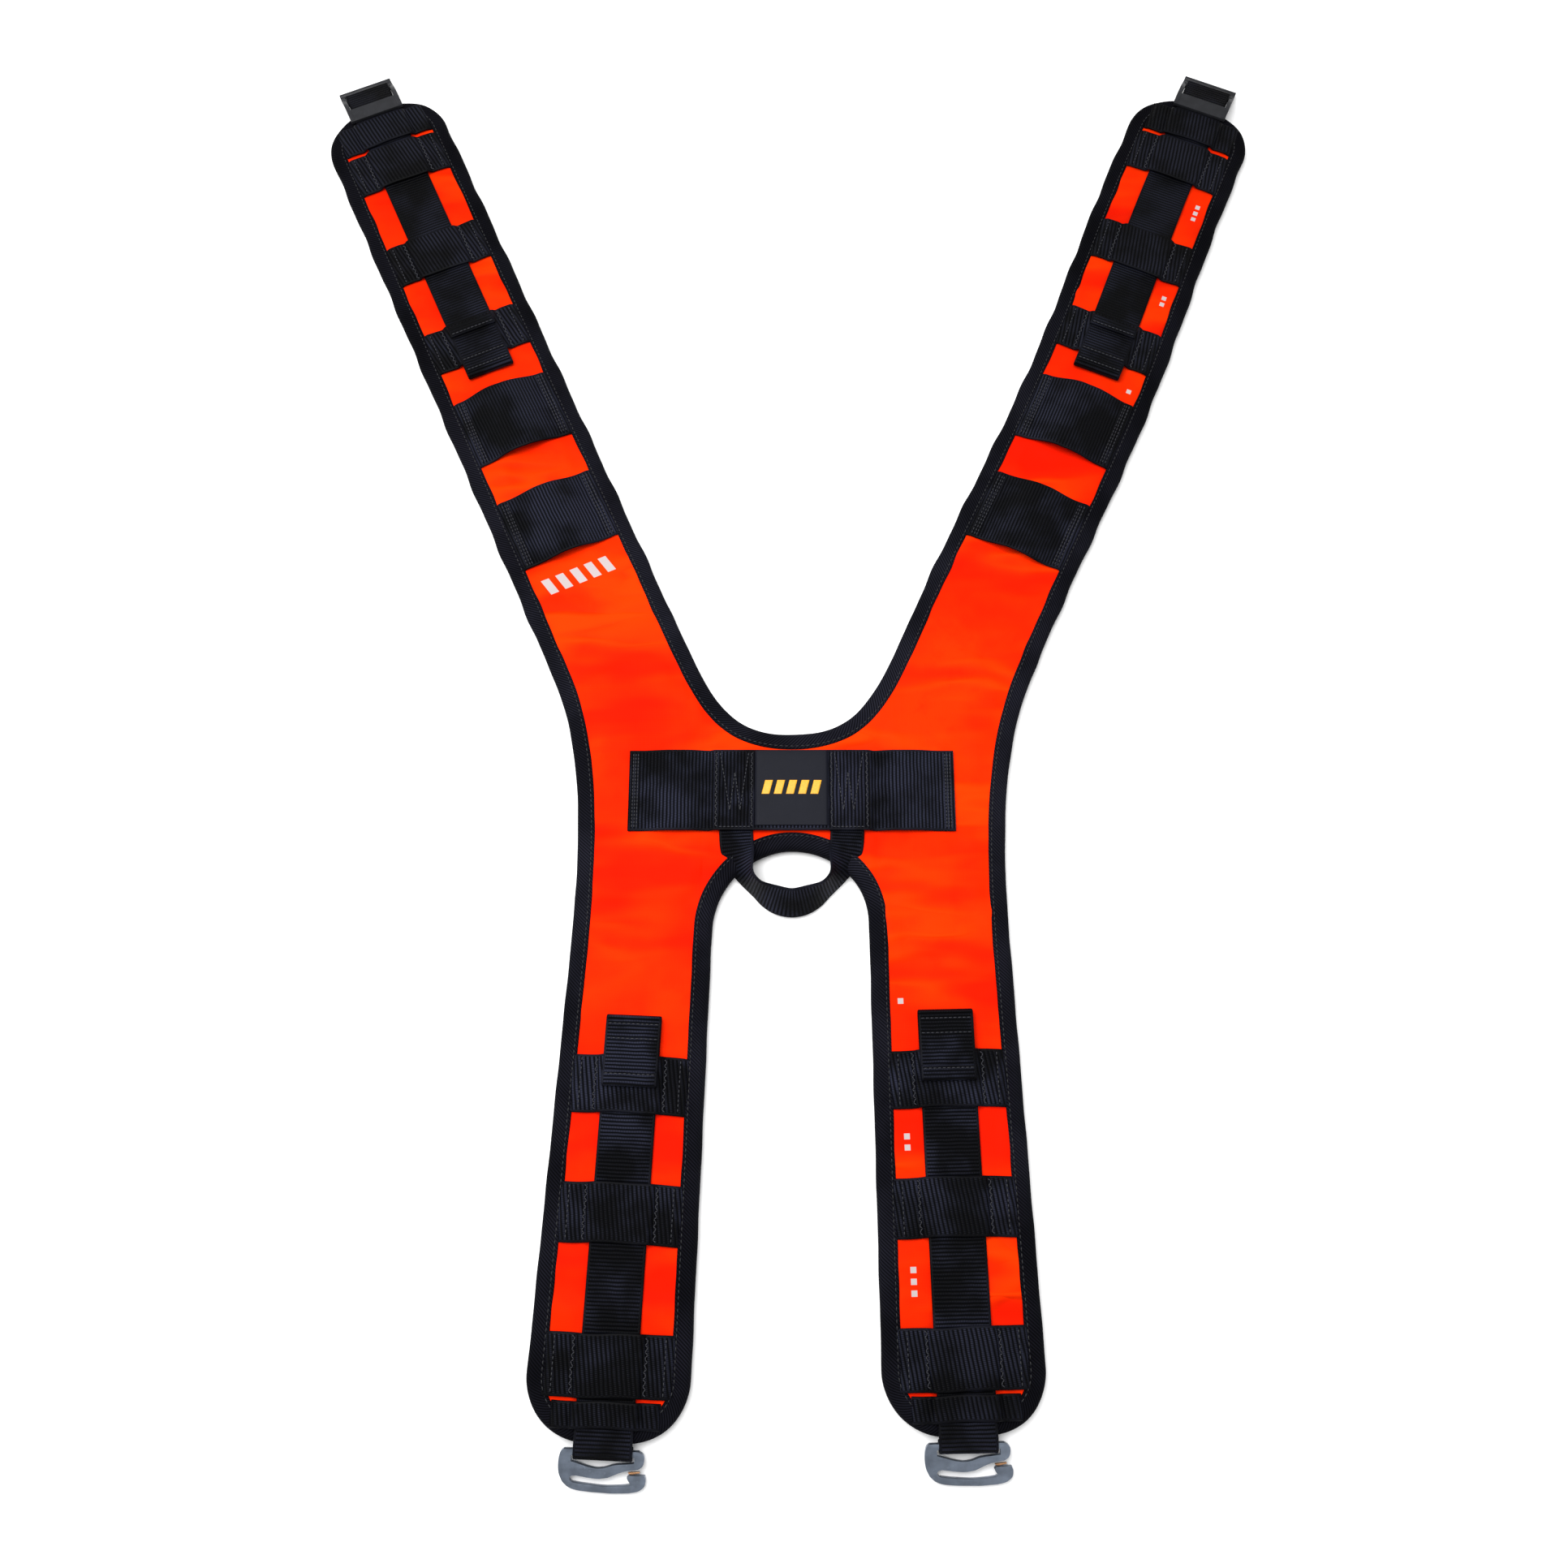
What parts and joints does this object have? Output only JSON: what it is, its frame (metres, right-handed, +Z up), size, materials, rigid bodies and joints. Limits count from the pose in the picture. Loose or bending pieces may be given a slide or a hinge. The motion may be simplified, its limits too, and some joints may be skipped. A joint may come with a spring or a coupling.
{
  "type": "padded carrying harness",
  "caption": "Padded H-shaped carrying harness with orange face, black bound edges, webbing bands, adjusting straps, slides, belt hooks and a haul loop.",
  "frame": {"origin": "bottom centre of the whole object as it lies flat, orange face up", "axes": "+Y along the object towards the two upper (front) arms, +X to the right, +Z up out of the orange face"},
  "size_m": [0.6338, 0.9136, 0.0189],
  "materials": {
    "orange_fabric": "matte coated weave",
    "padding": "spacer mesh over foam",
    "binding_tape": "twill tape",
    "webbing": "ribbed polyamide webbing",
    "label_fabric": "smooth woven label",
    "lock_metal": "satin dark grey",
    "hook_metal": "satin blue-grey",
    "keeper_spring": "bronze spring leaf"
  },
  "bodies": {
    "yoke": {"yoke_face": "orange_fabric", "yoke_padding": "padding", "binding_neck": "binding_tape", "binding_crotch": "binding_tape", "binding_waist_left": "binding_tape", "binding_waist_right": "binding_tape", "chest_band": "webbing", "label": "label_fabric"},
    "haul_loop": {"haul_loop": "webbing"},
    "arm_upper_left": {"arm_face_upper_left": "orange_fabric", "arm_padding_upper_left": "padding", "arm_binding_upper_left": "binding_tape", "arm_flex_upper_left": "padding", "end_band_upper_left": "webbing", "accessory_band_upper_left_1": "webbing", "accessory_band_upper_left_2": "webbing", "cross_band_upper_left_1": "webbing", "cross_band_upper_left_2": "webbing", "cross_band_upper_left_3": "webbing"},
    "strap_upper_left": {"strap_upper_left": "webbing"},
    "tab_upper_left": {"strap_tab_upper_left": "webbing"},
    "lock_upper_left": {"ladder_lock_upper_left": "lock_metal"},
    "arm_upper_right": {"arm_face_upper_right": "orange_fabric", "arm_padding_upper_right": "padding", "arm_binding_upper_right": "binding_tape", "arm_flex_upper_right": "padding", "end_band_upper_right": "webbing", "accessory_band_upper_right_1": "webbing", "accessory_band_upper_right_2": "webbing", "cross_band_upper_right_1": "webbing", "cross_band_upper_right_2": "webbing", "cross_band_upper_right_3": "webbing"},
    "strap_upper_right": {"strap_upper_right": "webbing"},
    "tab_upper_right": {"strap_tab_upper_right": "webbing"},
    "lock_upper_right": {"ladder_lock_upper_right": "lock_metal"},
    "arm_lower_left": {"arm_face_lower_left": "orange_fabric", "arm_padding_lower_left": "padding", "arm_binding_lower_left": "binding_tape", "arm_flex_lower_left": "padding", "end_band_lower_left": "webbing", "cross_band_lower_left_1": "webbing", "cross_band_lower_left_2": "webbing", "cross_band_lower_left_3": "webbing"},
    "strap_lower_left": {"strap_lower_left": "webbing"},
    "tab_lower_left": {"strap_tab_lower_left": "webbing"},
    "hook_lower_left": {"hook_lower_left": "hook_metal", "hook_keeper_lower_left": "keeper_spring"},
    "arm_lower_right": {"arm_face_lower_right": "orange_fabric", "arm_padding_lower_right": "padding", "arm_binding_lower_right": "binding_tape", "arm_flex_lower_right": "padding", "end_band_lower_right": "webbing", "cross_band_lower_right_1": "webbing", "cross_band_lower_right_2": "webbing", "cross_band_lower_right_3": "webbing"},
    "strap_lower_right": {"strap_lower_right": "webbing"},
    "tab_lower_right": {"strap_tab_lower_right": "webbing"},
    "hook_lower_right": {"hook_lower_right": "hook_metal", "hook_keeper_lower_right": "keeper_spring"}
  },
  "joints": [
    {"name": "fold_upper_left", "type": "hinge", "parent": "yoke", "child": "arm_upper_left", "pos_m": [-0.11099, 0.02421, 0.00475], "axis": [0.9133, 0.4072, 0], "range_deg": [-110, 110], "deforming": ["arm_flex_upper_left"]},
    {"name": "slide_upper_left", "type": "slide", "parent": "arm_upper_left", "child": "strap_upper_left", "axis": [-0.4072, 0.9133, 0], "range_m": [0, 0.009]},
    {"name": "lift_tab_upper_left", "type": "hinge", "parent": "strap_upper_left", "child": "tab_upper_left", "pos_m": [-0.19512, 0.21291, 0.01415], "axis": [0.9133, 0.4072, 0], "range_deg": [0, 100]},
    {"name": "tip_lock_upper_left", "type": "hinge", "parent": "strap_upper_left", "child": "lock_upper_left", "pos_m": [-0.29586, 0.43887, 0.006], "axis": [-0.9133, -0.4072, 0], "range_deg": [0, 100]},
    {"name": "fold_upper_right", "type": "hinge", "parent": "yoke", "child": "arm_upper_right", "pos_m": [0.11501, 0.02421, 0.00475], "axis": [0.9178, -0.3971, 0], "range_deg": [-110, 110], "deforming": ["arm_flex_upper_right"]},
    {"name": "slide_upper_right", "type": "slide", "parent": "arm_upper_right", "child": "strap_upper_right", "axis": [0.3971, 0.9178, 0], "range_m": [0, 0.009]},
    {"name": "lift_tab_upper_right", "type": "hinge", "parent": "strap_upper_right", "child": "tab_upper_right", "pos_m": [0.19706, 0.21382, 0.01415], "axis": [0.9178, -0.3971, 0], "range_deg": [0, 100]},
    {"name": "tip_lock_upper_right", "type": "hinge", "parent": "strap_upper_right", "child": "lock_upper_right", "pos_m": [0.29532, 0.44087, 0.006], "axis": [-0.9178, 0.3971, 0], "range_deg": [0, 100]},
    {"name": "fold_lower_left", "type": "hinge", "parent": "yoke", "child": "arm_lower_left", "pos_m": [-0.08539, -0.16879, 0.00475], "axis": [-0.999, 0.0436, 0], "range_deg": [-90, 90], "deforming": ["arm_flex_lower_left"]},
    {"name": "slide_lower_left", "type": "slide", "parent": "arm_lower_left", "child": "strap_lower_left", "axis": [-0.0436, -0.999, 0], "range_m": [0, 0.02]},
    {"name": "lift_tab_lower_left", "type": "hinge", "parent": "strap_lower_left", "child": "tab_lower_left", "pos_m": [-0.08736, -0.21394, 0.01415], "axis": [-0.999, 0.0436, 0], "range_deg": [0, 100]},
    {"name": "swing_hook_lower_left", "type": "hinge", "parent": "strap_lower_left", "child": "hook_lower_left", "pos_m": [-0.0971, -0.43693, 0.0065], "axis": [-0.999, 0.0436, 0], "range_deg": [-60, 100]},
    {"name": "fold_lower_right", "type": "hinge", "parent": "yoke", "child": "arm_lower_right", "pos_m": [0.08681, -0.16529, 0.00475], "axis": [-0.9997, -0.0227, 0], "range_deg": [-90, 90], "deforming": ["arm_flex_lower_right"]},
    {"name": "slide_lower_right", "type": "slide", "parent": "arm_lower_right", "child": "strap_lower_right", "axis": [0.0227, -0.9997, 0], "range_m": [0, 0.02]},
    {"name": "lift_tab_lower_right", "type": "hinge", "parent": "strap_lower_right", "child": "tab_lower_right", "pos_m": [0.08784, -0.21048, 0.01415], "axis": [-0.9997, -0.0227, 0], "range_deg": [0, 100]},
    {"name": "swing_hook_lower_right", "type": "hinge", "parent": "strap_lower_right", "child": "hook_lower_right", "pos_m": [0.0929, -0.43362, 0.0065], "axis": [-0.9997, -0.0227, 0], "range_deg": [-60, 100]},
    {"name": "lift_haul_loop", "type": "hinge", "parent": "yoke", "child": "haul_loop", "pos_m": [0.00151, -0.10419, 0.01055], "axis": [-1, 0, 0], "range_deg": [0, 100]}
  ]
}
